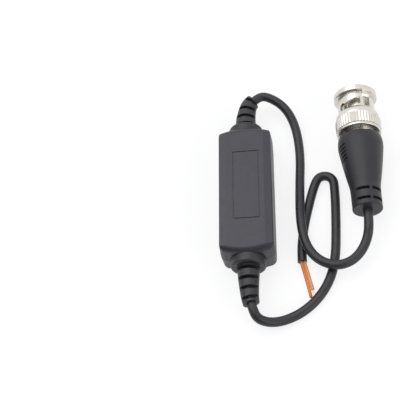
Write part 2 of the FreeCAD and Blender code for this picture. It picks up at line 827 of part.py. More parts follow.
def bayonet_ramp():
    """Helical slot from the entry channel to its locked end."""
    sweep = ramp_end_angle - ramp_start_angle
    pitch = ramp_rise * 360.0 / sweep
    helix = Part.makeHelix(pitch, ramp_rise, (channel_radius + nut_bore_radius) / 2)
    helix.translate(vec(0, 0, ramp_start))
    inner = nut_bore_radius - cut_margin
    outer = knurl_radius + cut_margin
    low, high = ramp_edges()
    section = Part.makePolygon([vec(inner, 0, low), vec(outer, 0, low), vec(outer, 0, high),
                                vec(inner, 0, high), vec(inner, 0, low)])
    slot = Part.Wire(helix.Edges).makePipeShell([section], True, True)
    return about_axis(slot, ramp_start_angle)


def bayonet_cutters():
    """Entry channel, entry window, passage under the bridge, ramp and locked end, on one side."""
    outside = knurl_radius + cut_margin
    channel = sector_block(entry_angle, entry_width, 0, channel_radius, -cut_margin, entry_window_end)
    window = sector_block(entry_angle, entry_width, 0, outside, entry_window_start, entry_window_end)
    low, high = ramp_edges()
    passage = wedge(channel_radius, low, high, entry_angle, ramp_start_angle)
    detent_station = ramp_start + ramp_rise - detent_setback
    detent = rod(detent_radius, vec(0, 0, detent_station), vec(outside, 0, detent_station))
    return [channel, window, bayonet_ramp(), passage, about_axis(detent, ramp_end_angle)]


def entry_hood():
    """Raised hood on the barrel over an entry channel: flat behind the flange, sloped down to the window."""
    level_end = entry_window_start - hood_slope
    behind_flange = flange_thickness - nut_edge
    outline = [(behind_flange, channel_radius), (behind_flange, hood_radius), (level_end, hood_radius),
               (entry_window_start, barrel_radius), (entry_window_start, channel_radius)]
    sector = wedge(hood_radius + cut_margin, 0, barrel_end,
                   entry_angle - hood_half_angle, entry_angle + hood_half_angle)
    return lathe(outline).common(sector)


def coupling_nut():
    """Bayonet nut: flange, slotted barrel with hoods, convex shoulder, knurl and rear lip."""
    chamber_start = ring_groove_start - nut_travel / 4
    corner = corner_share * nut_edge
    knurl_root = knurl_radius - knurl_depth
    bulge_back, bulge_in = shoulder_bulge
    outline = [
        (nut_bore_chamfer, nut_bore_radius), (0, nut_bore_radius + nut_bore_chamfer),
        (0, flange_radius - nut_edge),
        (nut_edge, flange_radius, corner, flange_radius - corner),
        (flange_thickness - nut_edge, flange_radius),
        (flange_thickness, flange_radius - nut_edge, flange_thickness - corner, flange_radius - corner),
        (flange_thickness, barrel_radius + nut_edge),
        (flange_thickness + nut_edge, barrel_radius, flange_thickness + corner, barrel_radius + corner),
        (barrel_end, barrel_radius),
        (knurl_start, knurl_root, barrel_end + bulge_back, knurl_radius - bulge_in),
        (knurl_start, knurl_root - knurl_depth), (knurl_end, knurl_root - knurl_depth),
        (knurl_end, nut_rim_radius - nut_edge), (knurl_end + nut_edge, nut_rim_radius),
        (nut_length - nut_edge, nut_rim_radius),
        (nut_length, nut_rim_radius - nut_edge, nut_length - corner, nut_rim_radius - corner),
        (nut_length, shank_radius + moving_clearance), (nut_lip_start(), shank_radius + moving_clearance),
        (nut_lip_start(), washer_chamber_radius()), (chamber_start, washer_chamber_radius()),
        (chamber_start, nut_bore_radius),
    ]
    nut = lathe(outline).fuse(knurl_band())
    for half_turn in (0, 180):
        nut = nut.fuse(about_axis(entry_hood(), half_turn))
        for cutter in bayonet_cutters():
            nut = nut.cut(about_axis(cutter, half_turn))
    return on_plug(nut.removeSplitter())


def plug_body():
    """Turned body: slotted outer contact, shank, rear flange and crimp stub."""
    rear = ring_groove_start + ring_groove_width
    flange_start = nut_length + moving_clearance
    outline = [
        (contact_front, contact_bore_radius), (contact_front, contact_radius - contact_edge),
        (contact_front + contact_edge, contact_radius), (gasket_front, contact_radius),
        (gasket_front, gasket_seat_radius), (gasket_front + gasket_thickness, gasket_seat_radius),
        (gasket_front + gasket_thickness, shank_radius), (ring_groove_start, shank_radius),
        (ring_groove_start, ring_groove_radius), (rear, ring_groove_radius), (rear, shank_radius),
        (flange_start, shank_radius), (flange_start, body_flange_radius),
        (body_flange_end - body_flange_edge, body_flange_radius),
        (body_flange_end, body_flange_radius - body_flange_edge),
        (body_flange_end, body_tail_radius), (body_tail_end, body_tail_radius),
        (body_tail_end, stub_radius), (stub_end, stub_radius),
        (stub_end, dielectric_radius + seat_clearance),
        (insulator_rear + seat_clearance, dielectric_radius + seat_clearance),
        (insulator_rear + seat_clearance, contact_bore_radius),
    ]
    body = lathe(outline)
    for i in range(contact_slots):
        angle = contact_slot_roll + 360.0 * i / contact_slots
        slot = sector_block(angle, contact_slot_width, contact_bore_radius - cut_margin,
                            contact_radius + cut_margin, contact_front - cut_margin, contact_slot_end)
        body = body.cut(slot)
    return on_plug(body)


def insulator():
    """White insulating bead between the contacts."""
    body = tube(contact_bore_radius - seat_clearance, pin_bore_radius + pin_root_radius - pin_radius,
                insulator_front, insulator_rear)
    return on_plug(body)


def centre_pin():
    bulge_back, bulge_in = pin_tip_bulge
    socket = core_radius + seat_clearance
    outline = [
        (pin_front, 0), (pin_front, pin_tip_radius),
        (pin_front + pin_tip_length, pin_radius, pin_front + bulge_back, pin_radius - bulge_in),
        (insulator_front, pin_radius), (insulator_front, pin_root_radius), (pin_rear, pin_root_radius),
        (pin_rear, socket), (pin_rear - pin_socket_depth, socket), (pin_rear - pin_socket_depth, 0),
    ]
    return on_plug(lathe(outline))


def face_gasket():
    rear = gasket_front + gasket_thickness - seat_clearance
    ring = tube(gasket_outer_radius, gasket_seat_radius + seat_clearance, gasket_front + seat_clearance, rear)
    return on_plug(ring.makeChamfer(gasket_chamfer, round_edges(ring)))


def retaining_ring():
    """Open ring in the body's groove; the wave washer bears on it."""
    half_gap = seat_clearance / 2
    start = ring_groove_start + half_gap
    end = ring_groove_start + ring_groove_width - half_gap
    ring = tube(ring_outer_radius, ring_groove_radius + half_gap, start, end)
    return on_plug(ring.cut(wedge(ring_outer_radius + cut_margin, start, end, 0, ring_gap_angle)))


def spring_washer():
    """Wave washer between the retaining ring and the thrust washer."""
    inner = shank_radius + 2 * moving_clearance
    outer = ring_outer_radius
    low = ring_groove_start + ring_groove_width + seat_clearance / 2
    travel = wave_height - wave_thickness - seat_clearance
    steps = 12 * wave_count
    sections = []
    for i in range(steps + 1):
        angle = 2 * math.pi * i / steps
        z = low + travel * (1 - math.cos(wave_count * angle)) / 2
        direction = vec(math.cos(angle), math.sin(angle), 0)
        near, far = vec(0, 0, z), vec(0, 0, z + wave_thickness)
        corners = [direction * inner + near, direction * outer + near,
                   direction * outer + far, direction * inner + far]
        sections.append(Part.makePolygon(corners + corners[:1]))
    half = steps // 2
    first = Part.makeLoft(sections[:half + 1], True, True)
    second = Part.makeLoft(sections[half:], True, True)
    return on_plug(first.fuse(second))


def thrust_washer():
    start = washer_start() + seat_clearance / 2
    end = washer_start() + washer_thickness
    return on_plug(tube(washer_outer_radius, shank_radius + moving_clearance, start, end))


def crimp_ferrule():
    """Brass tube over the body's stub and the jacket's end, pressed to flats where it is crimped."""
    start = body_tail_end + seat_clearance
    ferrule = tube(ferrule_radius, stub_radius + seat_clearance, start, start + ferrule_length)
    first, last = start + crimp_start, start + crimp_start + crimp_length
    corner = ferrule_radius * crimp_share / math.cos(math.pi / crimp_flats)
    angles = [2 * math.pi * i / crimp_flats for i in range(crimp_flats)]
    corners = [vec(corner * math.cos(a), corner * math.sin(a), first) for a in angles]
    pressed = Part.Face(Part.makePolygon(corners + corners[:1])).extrude(vec(0, 0, last - first))
    outside = Part.makeCylinder(ferrule_radius + cut_margin, last - first, vec(0, 0, first)).cut(pressed)
    return on_plug(ferrule.cut(outside))


def coax_end():
    """Coax inside the boot: jacket up to the stub, then the dielectric and core up to the contacts."""
    jacket_start = stub_end + seat_clearance
    dielectric_start = insulator_rear + seat_clearance
    core_start = pin_rear - pin_socket_depth + pin_socket_end_gap

    def length_of(radius, start, end):
        return Part.makeCylinder(radius, end - start, vec(0, 0, start))

    coax = length_of(cable_radius, jacket_start, boot_end)
    coax = coax.fuse(length_of(dielectric_radius, dielectric_start, jacket_start + join_overlap))
    coax = coax.fuse(length_of(core_radius, core_start, dielectric_start + join_overlap))
    return on_plug(coax.removeSplitter())


def boot_groove_cutters():
    """Two rings of slots, each split by narrow webs on top and below and by wide webs at the sides."""
    cutters = []
    outer = boot_waist_radius + cut_margin
    for start, width in zip(boot_groove_starts, boot_groove_widths):
        end = start + width
        ring = tube(outer, boot_groove_floor, start, end)
        top_web = block(vec(-outer, -boot_top_web / 2, start), vec(outer, boot_top_web / 2, end))
        side_web = block(vec(-boot_side_web_half_height, -outer, start),
                         vec(boot_side_web_half_height, outer, end))
        cutters.append(ring.cut(top_web).cut(side_web))
    return cutters


def boot_radius_at(station):
    """The boot's radius between its widest place and the middle of its taper, along two straight lines."""
    first = (boot_widest, boot_widest_radius)
    last = (boot_taper_start, boot_taper_start_radius)
    if station > boot_taper_start:
        first, last = last, (boot_taper_middle, boot_taper_middle_radius)
    share = (station - first[0]) / (last[0] - first[0])
    return first[1] + share * (last[1] - first[1])


def grip_cutters():
    """Shallow curved grooves across both sides of the boot's wide end."""
    cutters = []
    for i in range(grip_count):
        start = grip_start + i * grip_pitch
        floor = boot_radius_at(start + grip_width / 2) - grip_depth
        outside = boot_widest_radius + cut_margin
        ring = tube(outside, floor, start, start + grip_width)
        for side in (90, 270):
            side_sector = wedge(outside + cut_margin, start, start + grip_width,
                                side - grip_half_angle, side + grip_half_angle)
            cutters.append(ring.common(side_sector))
    return cutters


def plug_boot():
    """Moulded boot: wide grip end, taper to the waist, slotted tail."""
    bore = cable_radius + seat_clearance
    socket = body_tail_radius + seat_clearance
    ferrule_start = body_tail_end + seat_clearance
    ferrule_end = ferrule_start + ferrule_length + seat_clearance
    front_corner = corner_share * boot_front_rounding
    end_corner = corner_share * boot_end_rounding
    waist_middle = (boot_taper_end + boot_waist) / 2
    waist_middle_radius = (boot_taper_end_radius + boot_waist_radius) / 2 - boot_waist_bulge
    outline = [
        (body_flange_end, socket), (body_flange_end, boot_front_radius - boot_front_rounding),
        (body_flange_end + boot_front_rounding, boot_front_radius,
         body_flange_end + front_corner, boot_front_radius - front_corner),
        (boot_taper_start, boot_taper_start_radius, boot_widest, boot_widest_radius),
        (boot_taper_end, boot_taper_end_radius, boot_taper_middle, boot_taper_middle_radius),
        (boot_waist, boot_waist_radius, waist_middle, waist_middle_radius),
        (boot_end - boot_end_rounding, boot_end_radius),
        (boot_end, boot_end_radius - boot_end_rounding, boot_end - end_corner, boot_end_radius - end_corner),
        (boot_end, bore), (ferrule_end, bore), (ferrule_end, ferrule_radius + seat_clearance),
        (ferrule_start, ferrule_radius + seat_clearance), (ferrule_start, socket),
    ]
    boot = lathe(outline)
    for cutter in boot_groove_cutters() + grip_cutters():
        boot = boot.cut(about_axis(cutter, boot_roll))
    return on_plug(boot)


# Leads

def coax_lead():
    start, direction = sleeve_station(coax_gland_bend, sleeve_length)
    points = [start, start + direction * coax_first_run]
    points += [vec(*p) for p in coax_route]
    points += [plug_point(boot_end + coax_last_run), plug_point(boot_end)]
    return flexible(points, cable_radius, "coax_lead")


def pair_lead():
    start, direction = sleeve_station(pair_gland_bend, sleeve_length)
    points = [vec(p.x, -p.y, p.z) for p in (start, start + direction * pair_first_run)]
    points += [vec(*p) for p in pair_route]
    return flexible(points, cable_radius, "pair_lead")


def wire_points(side, route):
    """A wire's points: straight out of the jacket's cut end, then its own route."""
    beyond, end = [vec(*p) for p in pair_route[-2:]]
    direction = (end - beyond).normalize()
    start = end + vec(wire_offset + side * wire_spacing / 2, 0, 0)
    return [start, start + direction * wire_first_run] + [vec(*p) for p in route]


def wire_long():
    """Insulated wire with a closed rounded end."""
    points = wire_points(-1, long_wire_route)
    path, _ = rounded_route(points)
    return swept_round(path, wire_radius).fuse(Part.makeSphere(wire_radius, points[-1])).removeSplitter()


def wire_short():
    path, _ = rounded_route(wire_points(1, short_wire_route))
    return swept_round(path, wire_radius)


def bare_strand():
    """Tinned strand beyond the short wire's insulation."""
    a, b = [vec(*p) for p in short_wire_route[-2:]]
    direction = (b - a).normalize()
    return rod(strand_radius, b, b + direction * bare_strand_length)


def model():
    """Every node by name."""
    return {
        "housing_lower": housing_lower(),
        "housing_upper": housing_upper(),
        "coax_gland": gland(coax_gland_bend),
        "pair_gland": at_pair_end(gland(pair_gland_bend)),
        "circuit_board": circuit_board(),
        "solder_joints": solder_joints(),
        "ferrite_core": ferrite_core(),
        "core_winding": core_winding(),
        "surge_arrester": surge_arrester(),
        "resistors": resistors(),
        "film_capacitor": film_capacitor(),
        "coax_tail": coax_tail(),
        "coax_screen": coax_screen(),
        "pair_tail": pair_tail(),
        "pair_inner_wires": pair_inner_wires(),
        "coax_lead": coax_lead(),
        "pair_lead": pair_lead(),
        "wire_long": wire_long(),
        "wire_short": wire_short(),
        "bare_strand": bare_strand(),
        "coupling_nut": coupling_nut(),
        "plug_body": plug_body(),
        "insulator": insulator(),
        "centre_pin": centre_pin(),
        "face_gasket": face_gasket(),
        "retaining_ring": retaining_ring(),
        "spring_washer": spring_washer(),
        "thrust_washer": thrust_washer(),
        "crimp_ferrule": crimp_ferrule(),
        "coax_end": coax_end(),
        "plug_boot": plug_boot(),
    }


os.makedirs("parts", exist_ok=True)
for node, shape in model().items():
    if not shape.isValid():
        print("invalid solid:", node)
    shape.exportStep("parts/" + node + ".step")
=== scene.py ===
"""Looks of the in-line video balun: camera, light, cords and finishes, placed in the part's frame."""
import json
import math

import bmesh
import bpy
from mathutils import Matrix, Vector

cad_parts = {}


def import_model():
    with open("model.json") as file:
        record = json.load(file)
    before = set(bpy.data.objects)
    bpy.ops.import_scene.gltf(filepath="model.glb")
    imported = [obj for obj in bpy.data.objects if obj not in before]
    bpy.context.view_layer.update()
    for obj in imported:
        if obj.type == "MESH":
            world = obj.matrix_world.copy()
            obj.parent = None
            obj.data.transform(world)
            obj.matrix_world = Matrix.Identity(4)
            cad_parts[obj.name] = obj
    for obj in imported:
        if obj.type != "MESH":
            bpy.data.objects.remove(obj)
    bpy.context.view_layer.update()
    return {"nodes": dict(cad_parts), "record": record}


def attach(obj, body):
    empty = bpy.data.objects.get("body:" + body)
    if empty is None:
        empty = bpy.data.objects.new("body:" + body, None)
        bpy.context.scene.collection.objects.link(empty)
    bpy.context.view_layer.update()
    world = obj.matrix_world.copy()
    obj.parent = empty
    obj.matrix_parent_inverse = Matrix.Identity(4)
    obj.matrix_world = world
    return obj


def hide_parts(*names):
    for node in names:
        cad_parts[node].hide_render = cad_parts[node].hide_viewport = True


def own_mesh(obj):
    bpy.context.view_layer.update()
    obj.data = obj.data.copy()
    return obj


MM = 0.001

# Camera, fitted to the photograph's frame of 400 by 400 pixels
CAMERA_TARGET = Vector((-15.435, 0.464, 6.0)) * MM
CAMERA_DISTANCE = 345.84 * MM
CAMERA_AZIMUTH = math.radians(14.438)
CAMERA_ELEVATION = math.radians(58.283)
CAMERA_ROLL = math.radians(-16.429)
FOCAL_PIXELS = 1068.3
FRAME_PIXELS = 400
SENSOR = 36.0                # width of the sensor, which Blender takes in millimetres
CLIP_START = 0.01            # metres
CLIP_END = 20.0              # metres

# Floor and world, in metres
FLOOR_REACH = 4.0            # from its middle to each edge
FLOOR_DROP = 0.00002         # keeps it clear of the undersides
FLOOR_TONE = (0.27, 0.27, 0.27, 1)    # of its diffuse share
FLOOR_GLOW = 0.78            # its own light, which only the background's rays see
WHITE = (1, 1, 1, 1)
DIM_TINT = (0.97, 0.98, 1.0, 1)
DIM_STRENGTH = 0.50          # the world's light on the object
STUDIO_DARK = (0.14, 0.14, 0.14, 1)
STUDIO_WHITE_SIDE = (0, 0.9, 0.45)    # direction of the side that gloss sees white
STUDIO_WHITE_FROM = 0.45     # cosine of the angle from that direction within which it is full white

# Lamps: place and side of the square in metres, and power in watts
LAMP_TARGET = Vector((18, 0, 5)) * MM
LAMPS = {
    "key": (Vector((-0.22, 0.15, 0.70)), 0.85, 2.75),
    "fill": (Vector((0.52, -0.37, 0.30)), 0.50, 1.5),
}

# Plug, in millimetres: its mating face and its axis, from that face towards the cable
PLUG_YAW = math.radians(1.5)          # of the axis, from -Y towards +X
PLUG_PITCH = math.radians(0.7)        # of the axis, cable end down
PLUG_AXIS = Vector((math.sin(PLUG_YAW) * math.cos(PLUG_PITCH),
                    -math.cos(PLUG_YAW) * math.cos(PLUG_PITCH),
                    -math.sin(PLUG_PITCH)))
PLUG_FACE = Vector((36.65, 35.3, 7.5566))
BOOT_END = 43.4              # from the mating face, along the axis

# Gland sleeves, in millimetres: place of each outer end, and how far it is bent towards +X
COAX_EXIT = Vector((2.5117, 37.0951, 6.6))
COAX_BEND = math.radians(50.0)
COAX_EXIT_DIRECTION = Vector((math.sin(COAX_BEND), math.cos(COAX_BEND), 0))
PAIR_EXIT = Vector((0.6308, -37.6640, 6.6))
PAIR_BEND = math.radians(12.0)
PAIR_EXIT_DIRECTION = Vector((math.sin(PAIR_BEND), -math.cos(PAIR_BEND), 0))

# Leads, in millimetres: their size and the straight runs at their ends
CABLE_RADIUS = 1.5
COAX_FIRST_RUN = 1.8
COAX_LAST_RUN = 4.6
PAIR_FIRST_RUN = 2.2
CABLE_ORDER = 3              # quadratic: the line touches the legs between its points
CABLE_STEPS = 16             # mesh steps along each leg
CABLE_ROUNDNESS = 8          # bevel steps round the cable

# The leads' free routes, the same points as the solids follow
COAX_ROUTE = [
    (5.5, 39.1, 6.55), (7.3, 38.9, 6.35), (9.8, 37.7, 5.8), (12.4, 35.7, 5.0), (14.5, 32.9, 3.9),
    (16.0, 29.3, 2.5), (16.8, 25.2, 1.6), (17.2, 20.6, 1.5), (17.3, 15.0, 1.5), (16.9, 8.4, 1.6),
    (16.7, 2.6, 2.6), (16.6, -2.8, 4.1), (16.6, -7.6, 4.7), (16.9, -12.2, 4.7), (17.7, -16.6, 4.4),
    (19.5, -20.6, 4.2), (22.4, -23.8, 4.6), (26.4, -25.6, 4.7), (30.7, -24.9, 4.5), (34.4, -21.9, 4.4),
    (37.0, -17.2, 4.9),
]
PAIR_ROUTE = [
    (2.2, -42.1, 5.5), (4.7, -42.8, 3.8), (8.0, -42.4, 2.3), (11.9, -41.1, 1.5), (16.1, -39.0, 1.5),
    (20.1, -35.6, 1.5), (23.4, -31.2, 1.5), (25.7, -25.9, 1.5), (26.9, -19.8, 1.5), (27.4, -13.2, 1.5),
    (27.7, -6.8, 1.5), (27.9, -1.2, 1.5), (27.9, 3.4, 1.5), (27.8, 6.8, 1.5), (26.5, 8.5, 1.5),
    (24.5, 9.0, 1.5), (22.6, 8.1, 1.5), (21.3, 5.0, 1.5), (20.1, 1.0, 1.5), (18.9, -3.5, 1.5),
    (17.7, -8.4, 1.5), (16.9, -13.2, 1.5), (16.4, -17.8, 1.5), (16.4, -22.0, 1.5),
]

# Stripped tip of the short wire, in millimetres
STRAND_START = Vector((19.2, -31.3, 0.5))
STRAND_DIRECTION = (STRAND_START - Vector((18.42, -27.8, 0.62))).normalized()
STRAND_LENGTH = 1.8
STRAND_RADIUS = 0.082
STRAND_CIRCLE = 0.167        # radius on which the outer strands lie round the middle one
STRANDS_AROUND = 6
STRAND_LAY = 5.0             # length of one turn of their twist
STRAND_STEPS = 12
STRAND_ROUNDNESS = 4         # bevel steps round a strand

# A noise texture's values lie mostly between these
NOISE_LOW = 0.3
NOISE_HIGH = 0.7

# Resistors' painted rings, in millimetres along X: each one's place and colour
RING_WIDTH = 0.3
RING_REACH = 2.0             # the colours are laid out from this far below X = 0 to this far above
RESISTOR_RINGS = [
    (-1.3, (0.25, 0.10, 0.03)),
    (-0.7, (0.02, 0.02, 0.02)),
    (-0.1, (0.50, 0.06, 0.03)),
    (1.0, (0.60, 0.40, 0.08)),
]


def add_object(name, data):
    """New object in the scene."""
    piece = bpy.data.objects.new(name, data)
    bpy.context.scene.collection.objects.link(piece)
    return piece


# Camera, floor and light

def camera_axes():
    """Right, up and back of the camera."""
    back = Vector((math.sin(CAMERA_AZIMUTH) * math.cos(CAMERA_ELEVATION),
                   -math.cos(CAMERA_AZIMUTH) * math.cos(CAMERA_ELEVATION),
                   math.sin(CAMERA_ELEVATION)))
    right = (-back).cross(Vector((0, 0, 1))).normalized()
    up = right.cross(-back)
    c, s = math.cos(CAMERA_ROLL), math.sin(CAMERA_ROLL)
    return right * c + up * s, up * c - right * s, back


def make_camera():
    right, up, back = camera_axes()
    data = bpy.data.cameras.new("camera")
    data.sensor_width = SENSOR
    data.lens = FOCAL_PIXELS / FRAME_PIXELS * SENSOR
    data.clip_start = CLIP_START
    data.clip_end = CLIP_END
    camera = add_object("camera", data)
    turn = Matrix((right, up, back)).transposed().to_4x4()
    camera.matrix_world = Matrix.Translation(CAMERA_TARGET + back * CAMERA_DISTANCE) @ turn
    bpy.context.scene.camera = camera


def larger(tree, first, second):
    """The larger of two values."""
    node = tree.nodes.new("ShaderNodeMath")
    node.operation = "MAXIMUM"
    tree.links.new(first, node.inputs[0])
    tree.links.new(second, node.inputs[1])
    return node.outputs[0]


def background_rays(tree):
    """1 for rays that show the background: camera, mirror and see-through rays."""
    path = tree.nodes.new("ShaderNodeLightPath").outputs
    either = larger(tree, path["Is Camera Ray"], path["Is Glossy Ray"])
    return larger(tree, either, path["Is Transmission Ray"])


def floor_material():
    """Diffuse share that takes a soft shadow, made up to white by the floor's own light."""
    material = bpy.data.materials.new("floor_white")
    material.use_nodes = True
    tree = material.node_tree
    nodes, links = tree.nodes, tree.links
    nodes.clear()
    out = nodes.new("ShaderNodeOutputMaterial")
    diffuse = nodes.new("ShaderNodeBsdfDiffuse")
    diffuse.inputs["Color"].default_value = FLOOR_TONE
    glow = nodes.new("ShaderNodeEmission")
    glow.inputs["Color"].default_value = WHITE
    glow.inputs["Strength"].default_value = FLOOR_GLOW
    unlit = nodes.new("ShaderNodeEmission")
    unlit.inputs["Strength"].default_value = 0
    choose = nodes.new("ShaderNodeMixShader")
    links.new(background_rays(tree), choose.inputs[0])
    links.new(unlit.outputs[0], choose.inputs[1])
    links.new(glow.outputs[0], choose.inputs[2])
    both = nodes.new("ShaderNodeAddShader")
    links.new(diffuse.outputs[0], both.inputs[0])
    links.new(choose.outputs[0], both.inputs[1])
    links.new(both.outputs[0], out.inputs["Surface"])
    return material


def make_floor():
    mesh = bpy.data.meshes.new("floor")
    shape = bmesh.new()
    bmesh.ops.create_grid(shape, x_segments=1, y_segments=1, size=FLOOR_REACH)
    shape.to_mesh(mesh)
    shape.free()
    mesh.materials.append(floor_material())
    floor = add_object("floor", mesh)
    floor.location.z = -FLOOR_DROP


def studio_tone(tree):
    """White for the camera. Gloss sees white behind and above the object, and darker in front."""
    nodes, links = tree.nodes, tree.links
    towards_white = nodes.new("ShaderNodeVectorMath")
    towards_white.operation = "DOT_PRODUCT"
    towards_white.inputs[1].default_value = STUDIO_WHITE_SIDE
    links.new(nodes.new("ShaderNodeTexCoord").outputs["Generated"], towards_white.inputs[0])
    camera_ray = nodes.new("ShaderNodeLightPath").outputs["Is Camera Ray"]
    ramp = nodes.new("ShaderNodeValToRGB")
    dark, white = ramp.color_ramp.elements
    dark.position, dark.color = 0.0, STUDIO_DARK
    white.position, white.color = STUDIO_WHITE_FROM, WHITE
    links.new(larger(tree, towards_white.outputs["Value"], camera_ray), ramp.inputs[0])
    return ramp.outputs[0]


def make_world():
    """Studio for the background's rays, and dim all round for the light that falls on the object."""
    world = bpy.data.worlds.new("world")
    world.use_nodes = True
    tree = world.node_tree
    nodes, links = tree.nodes, tree.links
    nodes.clear()
    out = nodes.new("ShaderNodeOutputWorld")
    dim = nodes.new("ShaderNodeBackground")
    dim.inputs["Color"].default_value = DIM_TINT
    dim.inputs["Strength"].default_value = DIM_STRENGTH
    studio = nodes.new("ShaderNodeBackground")
    studio.inputs["Strength"].default_value = 1.0
    links.new(studio_tone(tree), studio.inputs["Color"])
    choose = nodes.new("ShaderNodeMixShader")
    links.new(background_rays(tree), choose.inputs[0])
    links.new(dim.outputs[0], choose.inputs[1])
    links.new(studio.outputs[0], choose.inputs[2])
    links.new(choose.outputs[0], out.inputs["Surface"])
    bpy.context.scene.world = world


def make_lamps():
    """Soft square lamps that face the object."""
    for name, (place, side, power) in LAMPS.items():
        data = bpy.data.lights.new(name, "AREA")
        data.size = side
        data.energy = power
        lamp = add_object(name, data)
        lamp.location = place
        lamp.rotation_euler = (LAMP_TARGET - place).to_track_quat("-Z", "Y").to_euler()


# Materials, with their sizes and depths in millimetres

class Nodes:
    """A material's node tree with short calls for what the finishes share."""

    def __init__(self, name, colour, roughness, metallic=0.0, specular=0.5):
        self.material = bpy.data.materials.new(name)
        self.material.use_nodes = True
        self.tree = self.material.node_tree
        self.shader = self.tree.nodes["Principled BSDF"]
        self.shader.inputs["Base Color"].default_value = (*colour, 1)
        self.shader.inputs["Roughness"].default_value = roughness
        self.shader.inputs["Metallic"].default_value = metallic
        self.shader.inputs["Specular IOR Level"].default_value = specular
        self.colour = colour
        self.roughness = roughness
        self.place = self.add("ShaderNodeTexCoord").outputs["Object"]

    def add(self, kind, **settings):
        node = self.tree.nodes.new(kind)
        for name, value in settings.items():
            setattr(node, name, value)
        return node

    def link(self, source, target):
        self.tree.links.new(source, target)

    def noise(self, size, detail, vector=None):
        """Noise whose blobs are about that size across."""
        scaled = self.add("ShaderNodeMapping")
        scaled.inputs["Scale"].default_value = [1 / (size * MM)] * 3
        self.link(vector or self.place, scaled.inputs["Vector"])
        noise = self.add("ShaderNodeTexNoise")
        noise.inputs["Scale"].default_value = 1.0
        noise.inputs["Detail"].default_value = detail
        self.link(scaled.outputs[0], noise.inputs["Vector"])
        return noise.outputs["Fac"]

    def tones(self, factor, low, high):
        """Base colour between two multiples of the material's own colour."""
        ramp = self.add("ShaderNodeValToRGB")
        ends = ramp.color_ramp.elements
        ends[0].position, ends[1].position = NOISE_LOW, NOISE_HIGH
        ends[0].color = (*[c * low for c in self.colour], 1)
        ends[1].color = (*[c * high for c in self.colour], 1)
        self.link(factor, ramp.inputs[0])
        self.link(ramp.outputs[0], self.shader.inputs["Base Color"])

    def rough(self, factor, less, more):
        """Roughness from so much less to so much more than the material's own."""
        spread = self.add("ShaderNodeMapRange")
        spread.inputs["From Min"].default_value = NOISE_LOW
        spread.inputs["From Max"].default_value = NOISE_HIGH
        spread.inputs["To Min"].default_value = self.roughness - less
        spread.inputs["To Max"].default_value = self.roughness + more
        self.link(factor, spread.inputs["Value"])
        self.link(spread.outputs[0], self.shader.inputs["Roughness"])

    def bump(self, height, depth):
        """Adds a height map of that depth to the surface."""
        bump = self.add("ShaderNodeBump")
        bump.inputs["Strength"].default_value = 1.0
        bump.inputs["Distance"].default_value = depth * MM
        self.link(height, bump.inputs["Height"])
        normal = self.shader.inputs["Normal"]
        if normal.is_linked:
            self.link(normal.links[0].from_socket, bump.inputs["Normal"])
        self.link(bump.outputs[0], normal)


def moulded(name, colour, roughness, grain, depth, specular=0.5):
    """Moulded plastic: eroded-tool grain, slow cloudiness in tone and gloss, and a slight sag."""
    made = Nodes(name, colour, roughness, specular=specular)
    made.tones(made.noise(size=4, detail=3), low=0.94, high=1.06)
    made.rough(made.noise(size=1.5, detail=3), less=0.03, more=0.03)
    made.bump(made.noise(size=grain, detail=3), depth)
    sag = 0.6 * depth
    made.bump(made.noise(size=6, detail=1), sag)
    return made.material


def around_plug(made):
    """Distance from the plug's axis and place along it, as the X and Y of a vector."""
    local = made.add("ShaderNodeMapping", vector_type="POINT")
    turn = PLUG_AXIS.rotation_difference(Vector((0, 0, 1)))
    local.inputs["Rotation"].default_value = turn.to_euler()
    local.inputs["Location"].default_value = -(turn @ (PLUG_FACE * MM))
    made.link(made.place, local.inputs["Vector"])
    split = made.add("ShaderNodeSeparateXYZ")
    made.link(local.outputs[0], split.inputs[0])
    across = made.add("ShaderNodeCombineXYZ")
    made.link(split.outputs["X"], across.inputs["X"])
    made.link(split.outputs["Y"], across.inputs["Y"])
    radius = made.add("ShaderNodeVectorMath", operation="LENGTH")
    made.link(across.outputs[0], radius.inputs[0])
    both = made.add("ShaderNodeCombineXYZ")
    made.link(radius.outputs["Value"], both.inputs["X"])
    made.link(split.outputs["Z"], both.inputs["Y"])
    return both.outputs[0]


def plated(name, colour, roughness, mark_depth):
    """Turned and plated metal: fine rings round the plug's axis and a few soft stains."""
    made = Nodes(name, colour, roughness, metallic=1.0)
    made.bump(made.noise(size=0.09, detail=2, vector=around_plug(made)), mark_depth)
    made.rough(made.noise(size=1.2, detail=3), less=0.04, more=0.07)
    made.tones(made.noise(size=2.5, detail=3), low=0.96, high=1.03)
    return made.material


def metal(name, colour, roughness, depth=0.004):
    """Drawn, sprung or soldered metal: fine grain, uneven tone and gloss."""
    made = Nodes(name, colour, roughness, metallic=1.0)
    made.tones(made.noise(size=1, detail=3), low=0.92, high=1.05)
    made.rough(made.noise(size=0.6, detail=3), less=0.05, more=0.08)
    made.bump(made.noise(size=0.12, detail=2), depth)
    return made.material


def jacket(name, colour, roughness, specular=0.5):
    """Extruded cable jacket: smooth, with a faint orange-peel and slow changes of gloss."""
    made = Nodes(name, colour, roughness, specular=specular)
    made.tones(made.noise(size=5, detail=2), low=0.92, high=1.08)
    made.rough(made.noise(size=3, detail=2), less=0.05, more=0.07)
    made.bump(made.noise(size=0.5, detail=2), depth=0.006)
    made.bump(made.noise(size=0.08, detail=2), depth=0.0015)
    return made.material


